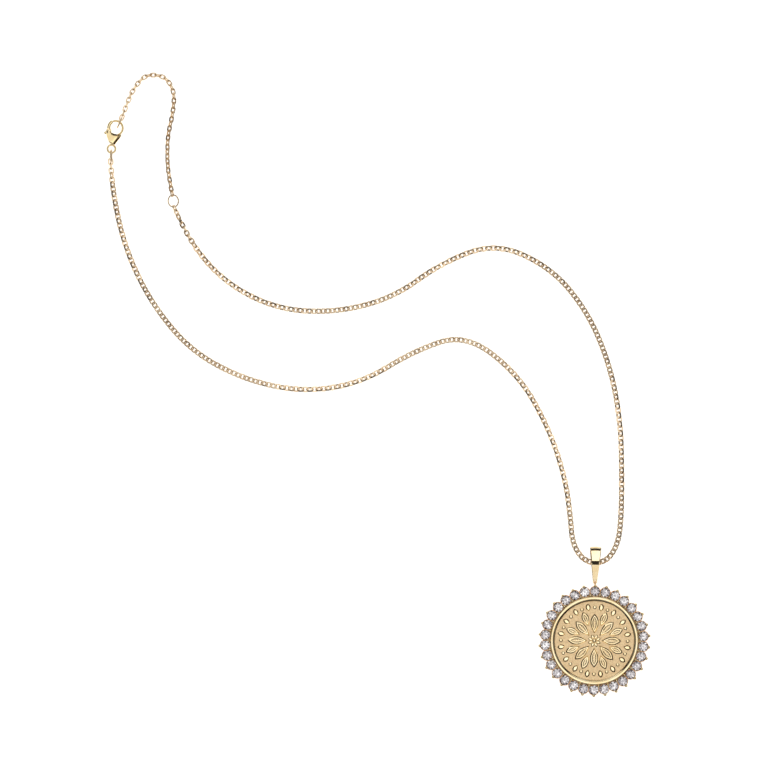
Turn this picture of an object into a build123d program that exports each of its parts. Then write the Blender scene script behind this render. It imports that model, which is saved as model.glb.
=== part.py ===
from build123d import *
import math
import os

# Medallion pendant with a halo of brilliants, lying flat with its chain laid out in an S.
# Millimetres. The origin is the medallion's centre on the surface it lies on, +Z up,
# +Y along the bail, away from the medallion.

# Medallion plate and its bezel
field_radius = 10.1
rim_width = 1.25
rim_height = 2.35
rim_lip = 0.18
back_thickness = 0.5
plate_thickness = 0.85
seat_gap = 0.05
relief_height = 0.42
relief_line = 0.3
relief_root = 0.05
rim_crest_width = 0.75
rim_crest_rise = 0.3
bead_count = 16

# Stones: round brilliants, shares are of the stone's diameter
stone_diameter = 2.45
stone_pitch_gap = 0.18
table_share = 0.56
crown_share = 0.15
girdle_share = 0.03
pavilion_share = 0.43
girdle_height = 1.9
stone_gap = 0.05

# Halo of cups and prongs
cup_wall = 0.155
cup_top_drop = 0.08
cup_foot_taper = 0.42
gallery_height = 0.5
gallery_wall = 0.25
cup_hole_radius = 0.55
outer_prong_radius = 0.28
outer_prong_ball = 0.38
inner_prong_radius = 0.25
inner_prong_ball = 0.34
prong_ball_rise = 0.36

# Bail, seen from the side: a loop for the chain with a thick front and a tongue below
bail_top_width = 2.8
bail_waist_width = 2.1
bail_foot_width = 1.04
bail_wall = 0.5
bail_front_height = 3.05
bail_front_wall = 0.5
bail_length = 9.55
bail_face_length = 2.85
bail_step_length = 0.85
bail_end_length = 1.05
bail_side_bevel = 0.3
tongue_thickness = 0.4
loop_radius = 0.70
loop_wire = 0.18
loop_height = 1.1
loop_sunk = 0.15
eye_gap = 0.08
tongue_ramp = 2.0
bail_step_height = 0.85
bail_end_bevel = 0.35
bail_hole_overrun = 0.35
bail_end_wall = 0.95
bail_chain_gap = 0.23

# Chain of oval links, and the rings it hangs on
link_length = 1.88
link_width = 1.36
link_wire = 0.27
link_pitch = 1.2
ring_outer_diameter = 3.45
ring_wire = 0.35
hook_gap = 0.07
tube_setback = 0.1

# Lobster clasp, in its own plan: u across, v along its axis from the eyelet's centre
clasp_heading = 8.2
eyelet_outer_diameter = 2.45
eyelet_wire = 0.4
claw_radius = 2.1
claw_offset_u = 0.15
claw_centre_v = 5.4
mouth_radius = 1.25
mouth_offset_u = 0.2
mouth_centre_v = 5.3
neck_radius = 0.62
neck_v = 1.5
clasp_thickness = 2.0
hook_thickness = 0.96
hook_edge = 0.24
pod_crown = 0.45
pod_top_v = 4.9
hook_angle = 58.0
end_ring_shift = 0.25
shoulder_v = 5.1
pivot_u = -1.22
pivot_v = 4.5
pin_radius = 0.25
pin_length = 1.7
pin_gap = 0.03
lever_thickness = 0.7
lever_side_gap = 0.06
lever_boss_radius = 0.52
lever_reach = 2.12
lever_band = 0.7
lever_inset = 0.08
lever_tab_u = -2.3
lever_tab_v = 3.75
lever_tab_width = 0.5
running_gap = 0.06

# Where the rings lie on the surface, and how they are turned and lean (degrees)
eyelet_x = -125.2
eyelet_y = 124.0
adjuster_x = -109.2
adjuster_y = 110.9
clasp_ring_heading = 0.0
clasp_ring_lean = 10.0
end_ring_heading = -22.6
end_ring_lean = 6.0
adjuster_ring_heading = 11.0
adjuster_ring_lean = 60.0

# The chain's route on the surface, chosen points from ring to ring. The bail's own points are
# measured from where the chain rests in the bail, and stand higher, because the chain rides over
# the bail's back wall there.
chain_height = link_width / 2
bail_chain_height = bail_wall + stone_gap + link_width / 2
left_route = [
    (-124.8, 112.5),
    (-121.0, 97.5),
    (-114.0, 84.0),
    (-104.0, 72.5),
    (-90.5, 65.5),
    (-75.5, 62.5),
    (-60.5, 65.0),
    (-47.0, 73.5),
    (-34.0, 78.0),
    (-20.5, 68.0),
    (-12.5, 54.5),
    (-8.0, 41.5),
    (-6.5, 31.5),
]
bail_route = [
    (-5.9, 4.55),
    (-2.6, 0.0),
    (2.6, 0.0),
    (5.7, 4.55),
]
right_route = [
    (6.5, 31.5),
    (6.5, 42.5),
    (6.0, 56.0),
    (3.2, 70.0),
    (-2.5, 83.5),
    (-12.0, 95.0),
    (-26.5, 101.5),
    (-40.5, 96.0),
    (-52.5, 87.0),
    (-67.0, 83.0),
    (-82.0, 83.5),
    (-95.5, 90.0),
    (-105.0, 100.5),
]
extender_route = [
    (-110.9, 120.0),
    (-110.9, 127.5),
    (-109.6, 133.5),
    (-109.3, 138.7),
    (-111.6, 142.7),
    (-116.6, 143.3),
    (-120.0, 139.3),
]

# Sizes that follow from those above
plate_radius = field_radius
rim_outer_radius = field_radius + rim_width
stone_radius = stone_diameter / 2
halo_radius = rim_outer_radius + stone_gap + stone_radius
stone_count = int(2 * math.pi * halo_radius // (stone_diameter + stone_pitch_gap))
stone_angle = 360 / stone_count
girdle_top = girdle_height + girdle_share * stone_diameter
table_height = girdle_top + crown_share * stone_diameter
culet_height = girdle_height - pavilion_share * stone_diameter
cup_radius = stone_radius + cup_wall
cup_top = girdle_height - cup_top_drop
prong_ball_height = girdle_top + prong_ball_rise
outer_prong_place = halo_radius + stone_radius + stone_gap + outer_prong_radius
halo_outer_radius = outer_prong_place + outer_prong_ball
loop_y = halo_outer_radius - loop_sunk
eye_y = loop_y + loop_radius
bail_foot_y = eye_y - bail_foot_width / 2
bail_top_y = bail_foot_y + bail_length
bail_end_y = bail_top_y - bail_end_length
bail_face_low = bail_end_y - bail_face_length
bail_step_low = bail_face_low - bail_step_length
bail_hole_low = bail_step_low - bail_hole_overrun
bail_chain_y = bail_hole_low + link_width / 2 + bail_chain_gap
ring_radius = (ring_outer_diameter - ring_wire) / 2
ring_minor = ring_wire / 2
link_minor = link_wire / 2
eyelet_minor = eyelet_wire / 2
eyelet_radius = eyelet_outer_diameter / 2 - eyelet_minor
clasp_middle = clasp_thickness / 2


def polar(radius, degrees, z=0.0):
    angle = math.radians(degrees)
    return Vector(radius * math.cos(angle), radius * math.sin(angle), z)


def leaf(length, width):
    """Pointed leaf outline along +X from the origin, two arcs."""
    upper = ThreePointArc((0, 0), (length / 2, width / 2), (length, 0))
    lower = ThreePointArc((length, 0), (length / 2, -width / 2), (0, 0))
    return make_face(upper + lower)


# Cast relief on the plate: each row gives a ring of leaves. Start and length are shares of the
# field radius, width is a share of the leaf's length, height a share of the relief height.
leaf_rings = [
    {"count": 8, "turn": 0.0, "start": 0.20, "length": 0.42, "width": 0.36, "height": 1.0},
    {"count": 8, "turn": 22.5, "start": 0.34, "length": 0.34, "width": 0.34, "height": 0.8},
    {"count": 24, "turn": 7.5, "start": 0.73, "length": 0.19, "width": 0.50, "height": 0.7},
]
rosette_share = 0.16
bead_share = 0.035
bead_ring_share = 0.70


def relief_leaf(row):
    """A leaf with a raised outline, a sunk face and a midrib."""
    length = row["length"] * field_radius
    width = row["width"] * length
    height = row["height"] * relief_height
    outline = leaf(length, width)
    body = extrude(outline, height)
    inner_length = length - 4 * relief_line
    if inner_length > 2 * relief_line and width > 3 * relief_line:
        inner = Pos(2 * relief_line, 0) * leaf(inner_length, width - 2 * relief_line)
        pocket = Pos(0, 0, height / 2) * extrude(inner, height)
        rib = Pos(length / 2, 0, height / 2) * Box(length * 0.8, relief_line / 2, height)
        body = body - (pocket - rib)
    return body


def medallion_plate():
    """The round plate on the bezel's back, with relief raised on its field."""
    top = back_thickness + seat_gap + plate_thickness
    disc = Pos(0, 0, back_thickness + seat_gap) * Cylinder(
        plate_radius, plate_thickness, align=(Align.CENTER, Align.CENTER, Align.MIN))
    raised = []
    for row in leaf_rings:
        shape = relief_leaf(row)
        for i in range(row["count"]):
            turn = row["turn"] + i * 360 / row["count"]
            place = Rot(0, 0, turn) * Pos(row["start"] * field_radius, 0, top - relief_root)
            raised.append(place * shape)
    rosette_radius = rosette_share * field_radius
    rosette = Pos(0, 0, top - relief_root) * Cylinder(
        rosette_radius, relief_height + relief_root, align=(Align.CENTER, Align.CENTER, Align.MIN))
    groove = Pos(0, 0, top + relief_height) * Torus(rosette_radius - 2 * relief_line, relief_line / 2)
    raised.append(rosette - groove)
    for i in range(bead_count):
        place = polar(bead_ring_share * field_radius, (i + 0.5) * 360 / bead_count, top)
        raised.append(Pos(*place) * Sphere(bead_share * field_radius))
    return disc + raised


def bezel_profile():
    """Half section of the bezel: closed back, wall, rounded crest and the lip over the plate."""
    plate_top = back_thickness + seat_gap + plate_thickness
    wall_inside = plate_radius + seat_gap
    lip_bottom = plate_top + seat_gap
    lip_inside = plate_radius - rim_lip
    crest_inside = rim_outer_radius - rim_crest_width
    crest_outside = rim_outer_radius
    crest_middle = (crest_inside + crest_outside) / 2
    shoulder = rim_height - rim_crest_rise
    outline = [
        Line((0, 0), (0, back_thickness)),
        Line((0, back_thickness), (wall_inside, back_thickness)),
        Line((wall_inside, back_thickness), (wall_inside, lip_bottom)),
        Line((wall_inside, lip_bottom), (lip_inside, lip_bottom)),
        Line((lip_inside, lip_bottom), (crest_inside, shoulder)),
        ThreePointArc((crest_inside, shoulder), (crest_middle, rim_height), (crest_outside, shoulder)),
        Line((crest_outside, shoulder), (crest_outside, 0)),
        Line((crest_outside, 0), (0, 0)),
    ]
    return Plane.XZ * make_face(outline)


def prong(foot, knee, tip, radius, ball):
    """A wire prong: it leans out to its knee, stands up, and ends in a ball over the stone's edge."""
    path = FilletPolyline(foot, knee, tip, radius=min((knee - foot).length, (tip - knee).length) / 2)
    wire = sweep(Plane(origin=path @ 0, z_dir=path % 0) * Circle(radius), path=path)
    inward = (foot - tip).project_to_plane(Plane.XY).normalized()
    return [wire, Pos(*(tip + inward * stone_gap)) * Sphere(ball)]


def halo_setting():
    """Bezel, gallery, cups, prongs and bail loop, one soldered piece."""
    solids = []
    inner_edge = rim_outer_radius - gallery_wall
    outer_edge = halo_radius + cup_radius - cup_foot_taper
    rail = Cylinder(outer_edge, gallery_height, align=(Align.CENTER, Align.CENTER, Align.MIN))
    rail = rail - Cylinder(inner_edge, 3 * gallery_height)
    solids.append(rail)
    cup = Pos(0, 0, gallery_height / 2) * Cone(
        cup_radius - cup_foot_taper, cup_radius, cup_top - gallery_height / 2,
        align=(Align.CENTER, Align.CENTER, Align.MIN))
    seat_radius = stone_radius + stone_gap * 1.3
    seat_depth = pavilion_share * stone_diameter * seat_radius / stone_radius
    seat = Pos(0, 0, girdle_height - seat_depth) * Cone(
        0.001, seat_radius, seat_depth, align=(Align.CENTER, Align.CENTER, Align.MIN))
    hole = Cylinder(cup_hole_radius, 4 * gallery_height)
    cutters = []
    for i in range(stone_count):
        place = Pos(*polar(halo_radius, 90 + i * stone_angle))
        solids.append(place * cup)
        cutters.append(place * seat)
        cutters.append(place * hole)
    body = Part() + solids
    body = body - cutters
    prongs = []
    inner_place = rim_outer_radius + inner_prong_radius + stone_gap
    knee_height = girdle_height - 2 * outer_prong_radius
    for i in range(stone_count):
        turn = 90 + i * stone_angle
        foot = polar(outer_edge - outer_prong_radius, turn, outer_prong_radius)
        knee = polar(outer_prong_place, turn, knee_height)
        tip = polar(outer_prong_place, turn, prong_ball_height)
        prongs += prong(foot, knee, tip, outer_prong_radius, outer_prong_ball)
        half = turn + stone_angle / 2
        post = Cylinder(inner_prong_radius, prong_ball_height - gallery_height / 2,
                        align=(Align.CENTER, Align.CENTER, Align.MIN))
        prongs.append(Pos(*polar(inner_place, half, gallery_height / 2)) * post)
        prongs.append(Pos(*polar(inner_place, half, prong_ball_height)) * Sphere(inner_prong_ball))
    body = body + prongs
    body = body + revolve(bezel_profile(), Axis.Z)
    loop = Pos(0, loop_y, loop_height) * Rot(0, 90, 0) * Torus(loop_radius, loop_wire)
    return body + loop


def brilliant():
    """Round brilliant about its own axis: table, eight mains, girdle, eight pavilion mains."""
    mains = 8
    outline = 2 * mains
    table_radius = table_share * stone_radius
    table_points = [polar(table_radius, i * 360 / mains, table_height) for i in range(mains)]
    low = [polar(stone_radius, i * 360 / outline, girdle_height) for i in range(outline)]
    high = [polar(stone_radius, i * 360 / outline, girdle_top) for i in range(outline)]
    faces = [Face(Wire.make_polygon(table_points, close=True))]
    culet = Vector(0, 0, culet_height)
    for i in range(mains):
        a = table_points[i]
        b = table_points[(i + 1) % mains]
        corner = high[2 * i]
        middle = high[2 * i + 1]
        next_corner = high[(2 * i + 2) % outline]
        faces.append(Face(Wire.make_polygon([a, corner, middle], close=True)))
        faces.append(Face(Wire.make_polygon([a, middle, b], close=True)))
        faces.append(Face(Wire.make_polygon([b, middle, next_corner], close=True)))
    for i in range(outline):
        j = (i + 1) % outline
        faces.append(Face(Wire.make_polygon([low[i], low[j], high[j], high[i]], close=True)))
        faces.append(Face(Wire.make_polygon([low[j], low[i], culet], close=True)))
    return Solid(Shell(faces))


def bail():
    """Side profile drawn in Y and Z, cut to its tapered plan, with the chain's hole and the eye."""
    foot = bail_foot_y
    top = bail_top_y
    end_y = bail_end_y
    face_low = bail_face_low
    step_low = bail_step_low
    tongue_low = loop_height - tongue_thickness / 2
    tongue_high = loop_height + tongue_thickness / 2
    flat_start = step_low - tongue_ramp
    step_height = bail_front_height - bail_step_height
    bevel_y = end_y + bail_end_bevel
    bevel_z = bail_front_height - bail_end_bevel
    eye_end = eye_y + bail_foot_width
    side = Polyline(
        (foot, tongue_low), (eye_end, tongue_low), (flat_start, 0), (end_y, 0))
    end_arc = ThreePointArc((end_y, 0), (top, bail_front_height / 2), (bevel_y, bevel_z))
    front = Polyline(
        (bevel_y, bevel_z), (end_y, bail_front_height), (face_low, bail_front_height),
        (step_low, step_height), (eye_end, tongue_high), (foot, tongue_high), (foot, tongue_low))
    profile = Plane.YZ * make_face([*side.edges(), end_arc, *front.edges()])
    body = extrude(profile, bail_top_width, both=True)
    half_foot = bail_foot_width / 2
    half_waist = bail_waist_width / 2
    half_top = bail_top_width / 2
    left_side = [
        (-half_foot, foot + half_foot), (-half_foot, eye_end), (-half_waist, step_low),
        (-half_waist, face_low), (-half_top, end_y), (-half_top, top)]
    right_side = [(-x, y) for x, y in reversed(left_side)]
    plan = Polyline(*left_side, *right_side)
    foot_arc = ThreePointArc((half_foot, foot + half_foot), (0, foot), (-half_foot, foot + half_foot))
    outline = make_face([*plan.edges(), foot_arc])
    body = body & extrude(outline, bail_front_height)
    hole_high = top - bail_end_wall
    hole_width = bail_front_height - bail_wall - bail_front_wall
    middle = (bail_wall + bail_front_height - bail_front_wall) / 2
    slot = SlotOverall(hole_high - bail_hole_low, hole_width)
    slot = Plane.YZ * (Pos((bail_hole_low + hole_high) / 2, middle) * slot)
    hole = extrude(slot, bail_top_width, both=True)
    eye = Pos(0, eye_y, loop_height) * Cylinder(loop_wire + eye_gap, 4 * tongue_thickness)
    body = body - hole - eye
    face = body.faces().sort_by(Axis.Z)[-1]
    sides = face.edges().filter_by(lambda e: abs(e.tangent_at(0.5).Y) > 0.7)
    return chamfer(sides, bail_side_bevel)


class RingPlace:
    """A ring standing on the surface: its heading in plan and its lean from upright, in degrees."""

    def __init__(self, heading, lean):
        angle = math.radians(90 + heading)
        self.along = Vector(math.cos(angle), math.sin(angle), 0)
        side = Vector(self.along.Y, -self.along.X, 0)
        tilt = math.radians(lean)
        self.up = Vector(0, 0, 1) * math.cos(tilt) + side * math.sin(tilt)
        self.height = ring_radius * math.cos(tilt) + ring_minor
        self.centre = None

    def inside(self, z, wire):
        """Along and up in its own plane, where a round wire hangs inside the ring at a height."""
        rise = (z - self.height) / self.up.Z
        room = ring_radius - ring_minor - wire - hook_gap
        return self.along * math.sqrt(room ** 2 - rise ** 2), self.up * rise

    def hang(self, point, wire):
        """Put the ring so that its far end goes round a wire at the point."""
        reach, rise = self.inside(point.Z, wire)
        self.centre = point - reach - rise

    def hook(self, z, wire, sign):
        """Where a wire hangs inside the ring at a height, at its far (1) or near (-1) end."""
        reach, rise = self.inside(z, wire)
        return self.centre + reach * sign + rise

    def solid(self):
        normal = self.along.cross(self.up)
        return Plane(origin=self.centre, x_dir=self.along, z_dir=normal) * Torus(ring_radius, ring_minor)


def chain_link():
    """Oval link along X in the XY plane, round wire swept along a slot shaped path."""
    straight = (link_length - link_width) / 2
    radius = (link_width - link_wire) / 2
    start = Line((0, radius), (straight, radius))
    far_end = ThreePointArc((straight, radius), (straight + radius, 0), (straight, -radius))
    lower = Line((straight, -radius), (-straight, -radius))
    near_end = ThreePointArc((-straight, -radius), (-straight - radius, 0), (-straight, radius))
    finish = Line((-straight, radius), (0, radius))
    path = Wire([piece.edge() for piece in (start, far_end, lower, near_end, finish)])
    section = Plane(origin=(0, radius, 0), z_dir=(1, 0, 0)) * Circle(link_minor)
    return sweep(section, path=path)


def corner_radii(points):
    """As large an arc at each corner as its two runs allow."""
    radii = []
    for before, corner, after in zip(points, points[1:], points[2:]):
        into = corner - before
        out = after - corner
        half_turn = math.radians(into.get_angle(out) / 2)
        radii.append(0.45 * min(into.length, out.length) / math.tan(half_turn))
    return radii


def chain_tube(points, radii):
    """The chain's own round form along straight runs and tangent arcs."""
    path = FilletPolyline(*points, radius=radii)
    return sweep(Plane(origin=path @ 0, z_dir=path % 0) * Circle(link_width / 2), path=path)


def end_link(point, outward, normal):
    """The last link, its end inside a ring at the point, and where the tube starts beyond it."""
    half = (link_length - link_wire) / 2
    centre = point + outward * half
    solid = Plane(origin=centre, x_dir=outward, z_dir=normal) * chain_link()
    return solid, centre, centre + outward * (half - tube_setback)


def extender_chain(first_centre, first_roll, last_centre):
    """Real links along the end length's route, each turned a quarter from the last. The rolls
    drift a little, so that the last one lies flat round the end ring."""
    route = [first_centre, *[Vector(x, y, chain_height) for x, y in extender_route], last_centre]
    radii = corner_radii(route)
    print("extender radii", [round(r, 1) for r in radii])
    path = FilletPolyline(*route, radius=radii)
    steps = math.ceil(path.length / link_pitch)
    total_roll = first_roll + 90 * steps
    drift = (round(total_roll / 180) * 180 - total_roll) / steps
    link = chain_link()
    links = []
    for i in range(steps + 1):
        distance = path.length * i / steps
        along = path.tangent_at(distance, PositionMode.LENGTH)
        up = (Vector(0, 0, 1) - along * along.Z).normalized()
        side = along.cross(up)
        roll = math.radians(first_roll + i * (90 + drift))
        normal = up * math.cos(roll) + side * math.sin(roll)
        centre = path.position_at(distance, PositionMode.LENGTH)
        links.append(Plane(origin=centre, x_dir=along, z_dir=normal) * link)
    return Compound(children=links)


def clasp_place():
    """Location of the clasp's plan: eyelet's centre at its middle height."""
    return Location((eyelet_x, eyelet_y, 0), (0, 0, -clasp_heading))


def claw_plan():
    """Teardrop from the neck to the claw's circle."""
    du = claw_offset_u
    dv = claw_centre_v - neck_v
    distance = math.hypot(du, dv)
    axis = math.atan2(dv, du)
    spread = math.acos((claw_radius - neck_radius) / distance)
    points = []
    for sign in (1, -1):
        angle = axis + math.pi + sign * spread
        across, along = math.cos(angle), math.sin(angle)
        points.append((claw_offset_u + claw_radius * across, claw_centre_v + claw_radius * along))
        points.append((neck_radius * across, neck_v + neck_radius * along))
    body = make_face(Polyline(points[0], points[1], points[3], points[2], close=True))
    claw = Pos(claw_offset_u, claw_centre_v) * Circle(claw_radius)
    neck = Pos(0, neck_v) * Circle(neck_radius)
    return body + claw + neck


def clasp_body():
    """Cast claw with its hook, crowned pod, forked shoulder for the lever and eyelet."""
    plan = claw_plan()
    mouth = Pos(mouth_offset_u, mouth_centre_v) * Circle(mouth_radius)
    hook = Pos(0, 0, clasp_middle - hook_thickness / 2) * extrude(plan - mouth, hook_thickness)
    flats = hook.faces().filter_by(Axis.Z)
    hook = chamfer(flats.edges(), min(hook_edge, 0.3 * hook_thickness))
    below = Pos(0, pod_top_v - claw_centre_v) * Rectangle(4 * claw_radius, 2 * claw_centre_v)
    pod_plan = plan & below
    crown_radius = (claw_radius ** 2 + pod_crown ** 2) / (2 * pod_crown)
    lens = Rot(90, 0, 0) * Cylinder(crown_radius, 30)
    upper = Pos(0, 0, clasp_thickness - crown_radius) * lens
    lower = Pos(0, 0, crown_radius) * lens
    pod = extrude(pod_plan - mouth, clasp_thickness) & upper & lower
    body = hook + pod
    tip = Pos(pivot_u, pivot_v) * Circle(lever_reach + running_gap)
    above = Pos(pivot_u, shoulder_v + lever_reach) * Rectangle(3 * lever_reach, 2 * lever_reach)
    gate = tip & above
    body = body - (Pos(0, 0, -1) * extrude(gate, clasp_thickness + 2))
    slot_height = lever_thickness + 2 * lever_side_gap
    slot = Pos(pivot_u, pivot_v) * Circle(lever_boss_radius + lever_tab_width + 3 * running_gap)
    slot = Pos(0, 0, clasp_middle - slot_height / 2) * extrude(slot, slot_height)
    body = body - slot
    body = body - Pos(pivot_u, pivot_v, clasp_middle) * Cylinder(pin_radius + pin_gap, 2 * clasp_thickness)
    eyelet = Pos(0, 0, clasp_middle) * Torus(eyelet_radius, eyelet_minor)
    stem_low = eyelet_radius
    stem = Pos(0, (stem_low + neck_v) / 2, clasp_middle) * Box(
        2 * eyelet_minor + 0.3, neck_v - stem_low + eyelet_minor, 2 * eyelet_minor)
    bore = Pos(0, 0, clasp_middle) * Cylinder(eyelet_radius - eyelet_minor * 0.7, clasp_thickness)
    return clasp_place() * ((body + stem - bore) + eyelet)


def lever_plan():
    """Gate arm along the claw's circle, boss round the pin, and the thumb tab."""
    outer = claw_radius - lever_inset
    band = Pos(claw_offset_u, claw_centre_v) * (Circle(outer) - Circle(outer - lever_band))
    reach = Pos(pivot_u, pivot_v) * Circle(lever_reach)
    above = Pos(pivot_u, pivot_v + 1.5 * lever_reach) * Rectangle(3 * lever_reach, 3 * lever_reach)
    arm = band & reach & above
    boss = Pos(pivot_u, pivot_v) * Circle(lever_boss_radius)
    tab_length = math.hypot(lever_tab_u - pivot_u, lever_tab_v - pivot_v)
    tab_angle = math.degrees(math.atan2(lever_tab_v - pivot_v, lever_tab_u - pivot_u))
    middle = ((pivot_u + lever_tab_u) / 2, (pivot_v + lever_tab_v) / 2)
    tab = Pos(*middle) * Rot(0, 0, tab_angle) * SlotCenterToCenter(tab_length, lever_tab_width)
    return arm + boss + tab


def clasp_lever():
    plate = Pos(0, 0, clasp_middle - lever_thickness / 2) * extrude(lever_plan(), lever_thickness)
    hole = Pos(pivot_u, pivot_v, clasp_middle) * Cylinder(pin_radius + pin_gap, clasp_thickness)
    return clasp_place() * (plate - hole)


def clasp_pin():
    pin = Pos(pivot_u, pivot_v, clasp_middle) * Cylinder(pin_radius, pin_length)
    return clasp_place() * pin


def in_clasp(u, v, z):
    return (clasp_place() * Pos(u, v, z)).position


def main():
    os.makedirs("parts", exist_ok=True)
    nodes = {}
    nodes["medallion_plate"] = medallion_plate()
    nodes["halo_setting"] = halo_setting()
    gem = brilliant()
    for i in range(stone_count):
        turn = 90 - i * stone_angle
        nodes[f"stone_{i + 1:02d}"] = Pos(*polar(halo_radius, turn)) * Rot(0, 0, turn) * gem
    nodes["bail"] = bail()

    clasp_ring = RingPlace(clasp_ring_heading, clasp_ring_lean)
    clasp_ring.hang(in_clasp(0, -eyelet_radius, clasp_middle), eyelet_minor)
    nodes["clasp_ring"] = clasp_ring.solid()

    end_ring = RingPlace(end_ring_heading, end_ring_lean)
    bar = polar((claw_radius + mouth_radius) / 2, hook_angle)
    bar_point = in_clasp(claw_offset_u + bar.X, claw_centre_v + bar.Y, end_ring.height)
    end_ring.centre = bar_point + end_ring.along * end_ring_shift
    nodes["end_ring"] = end_ring.solid()

    adjuster = RingPlace(adjuster_ring_heading, adjuster_ring_lean)
    adjuster.centre = Vector(adjuster_x, adjuster_y, adjuster.height)
    nodes["adjuster_ring"] = adjuster.solid()

    flat = [Vector(x, y, chain_height) for x, y in left_route]
    beside = (chain_height + bail_chain_height) / 2
    raised = [Vector(x, bail_chain_y + y, beside if y else bail_chain_height) for x, y in bail_route]
    rest = [Vector(x, y, chain_height) for x, y in right_route]
    outward = -clasp_ring.along
    first_link, first_centre, start = end_link(
        clasp_ring.hook(chain_height, link_minor, -1), outward, Vector(0, 0, 1))
    right_out = -adjuster.along
    last_link, last_centre, finish = end_link(
        adjuster.hook(adjuster.height, link_minor, -1), right_out, adjuster.up)
    route = [start, *flat, *raised, *rest, finish]
    radii = corner_radii(route)
    seam_index = len(flat) + 2
    seam = (route[seam_index] + route[seam_index + 1]) / 2
    print("chain radii", [round(r, 1) for r in radii])
    left_tube = chain_tube([*route[:seam_index + 1], seam], radii[:seam_index])
    right_tube = chain_tube([seam, *route[seam_index + 1:]], radii[seam_index:])
    nodes["chain_left"] = left_tube + first_link
    nodes["chain_right"] = right_tube + last_link

    _, extender_start, _ = end_link(
        adjuster.hook(adjuster.height, link_minor, 1), adjuster.along, adjuster.up)
    _, extender_finish, _ = end_link(
        end_ring.hook(chain_height, link_minor, 1), end_ring.along, Vector(0, 0, 1))
    nodes["extender_chain"] = extender_chain(extender_start, adjuster_ring_lean, extender_finish)

    nodes["clasp_body"] = clasp_body()
    nodes["clasp_lever"] = clasp_lever()
    nodes["clasp_pin"] = clasp_pin()
    for name, shape in nodes.items():
        export_step(shape, f"parts/{name}.step")
        print(name, len(shape.solids()), round(shape.volume, 3), shape.is_valid)


main()
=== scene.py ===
import math
import random

import bmesh
import bpy
from mathutils import Matrix, Vector


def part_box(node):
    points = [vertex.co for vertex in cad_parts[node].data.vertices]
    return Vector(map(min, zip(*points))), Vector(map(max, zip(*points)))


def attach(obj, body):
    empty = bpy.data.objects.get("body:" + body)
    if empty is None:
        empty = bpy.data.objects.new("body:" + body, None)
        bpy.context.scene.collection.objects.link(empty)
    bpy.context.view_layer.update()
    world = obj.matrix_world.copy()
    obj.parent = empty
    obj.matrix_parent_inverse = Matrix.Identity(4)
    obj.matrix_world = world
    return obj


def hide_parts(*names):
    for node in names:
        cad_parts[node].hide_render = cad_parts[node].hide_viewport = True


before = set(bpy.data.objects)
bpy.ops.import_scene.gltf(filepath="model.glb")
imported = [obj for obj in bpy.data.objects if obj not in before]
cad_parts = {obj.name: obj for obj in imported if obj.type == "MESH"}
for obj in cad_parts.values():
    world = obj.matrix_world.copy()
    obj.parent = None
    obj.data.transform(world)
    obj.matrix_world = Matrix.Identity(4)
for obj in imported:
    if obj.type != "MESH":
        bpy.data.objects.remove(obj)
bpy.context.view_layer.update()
millimetre = 0.001  # pieces are modelled in millimetres and made metres when they are finished
print("frame loaded,", len(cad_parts), "nodes")


# Shader maths

class Link:
    def __init__(self, finish, socket):
        self.finish = finish
        self.socket = socket

    def maths(self, operation, first, second):
        return self.finish.node("ShaderNodeMath", {"operation": operation}, {0: first, 1: second})

    def __add__(self, other):
        return self.maths("ADD", self, other)

    def __mul__(self, other):
        return self.maths("MULTIPLY", self, other)

    __radd__ = __add__
    __rmul__ = __mul__


class Finish:
    def __init__(self, name):
        self.material = bpy.data.materials.new(name)
        self.material.use_nodes = True
        self.tree = self.material.node_tree
        self.shader = self.tree.nodes["Principled BSDF"]
        self.place = self.node("ShaderNodeTexCoord", output="Object")

    def node(self, kind, settings=None, sockets=None, output=0):
        made = self.tree.nodes.new(kind)
        for key, value in (settings or {}).items():
            setattr(made, key, value)
        for key, value in (sockets or {}).items():
            if isinstance(value, Link):
                self.tree.links.new(value.socket, made.inputs[key])
            else:
                made.inputs[key].default_value = value
        return Link(self, made.outputs[output])

    def noise(self, scale, detail=2.0, stretch=None):
        place = self.place
        if stretch:
            place = self.node("ShaderNodeMapping", None, {"Vector": place, "Scale": stretch})
        return self.node("ShaderNodeTexNoise", None, {"Vector": place, "Scale": scale, "Detail": detail})

    def blend(self, value, span, first, second):
        # the first colour below the span of values, the second above it, and a soft change between
        share = self.node("ShaderNodeMapRange", {"interpolation_type": "SMOOTHSTEP"}, {
            "Value": value, "From Min": span[0], "From Max": span[1], "To Min": 0.0, "To Max": 1.0})
        sockets = {0: share, 6: first, 7: second}
        return self.node("ShaderNodeMix", {"data_type": "RGBA"}, sockets, output=2)

    def bump(self, value, depth):
        sockets = {"Height": value, "Distance": depth * millimetre, "Strength": 1.0}
        return self.node("ShaderNodeBump", None, sockets)

    def feed(self, **sockets):
        for name, value in sockets.items():
            socket = self.shader.inputs[name.replace("_", " ")]
            if isinstance(value, Link):
                self.tree.links.new(value.socket, socket)
            else:
                socket.default_value = value


goldColours = {
    "bright": (0.94, 0.775, 0.49, 1),
    "deep": (0.88, 0.68, 0.38, 1),
    "field": (0.97, 0.73, 0.425, 1),
    "fieldDeep": (0.84, 0.60, 0.335, 1),
    # cup and cupShadeDeep are a redder, darker copy of the setting's gold: painted shade for the reddish
    # shadow between the stones
    "cup": (0.95, 0.64, 0.36, 1),
    "cupShadeDeep": (0.86, 0.50, 0.24, 1),
    "chain": (0.86, 0.70, 0.49, 1),
    "chainDeep": (0.68, 0.51, 0.33, 1),
    "clasp": (0.94, 0.765, 0.44, 1),
    "claspDeep": (0.86, 0.65, 0.34, 1),
}
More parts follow.
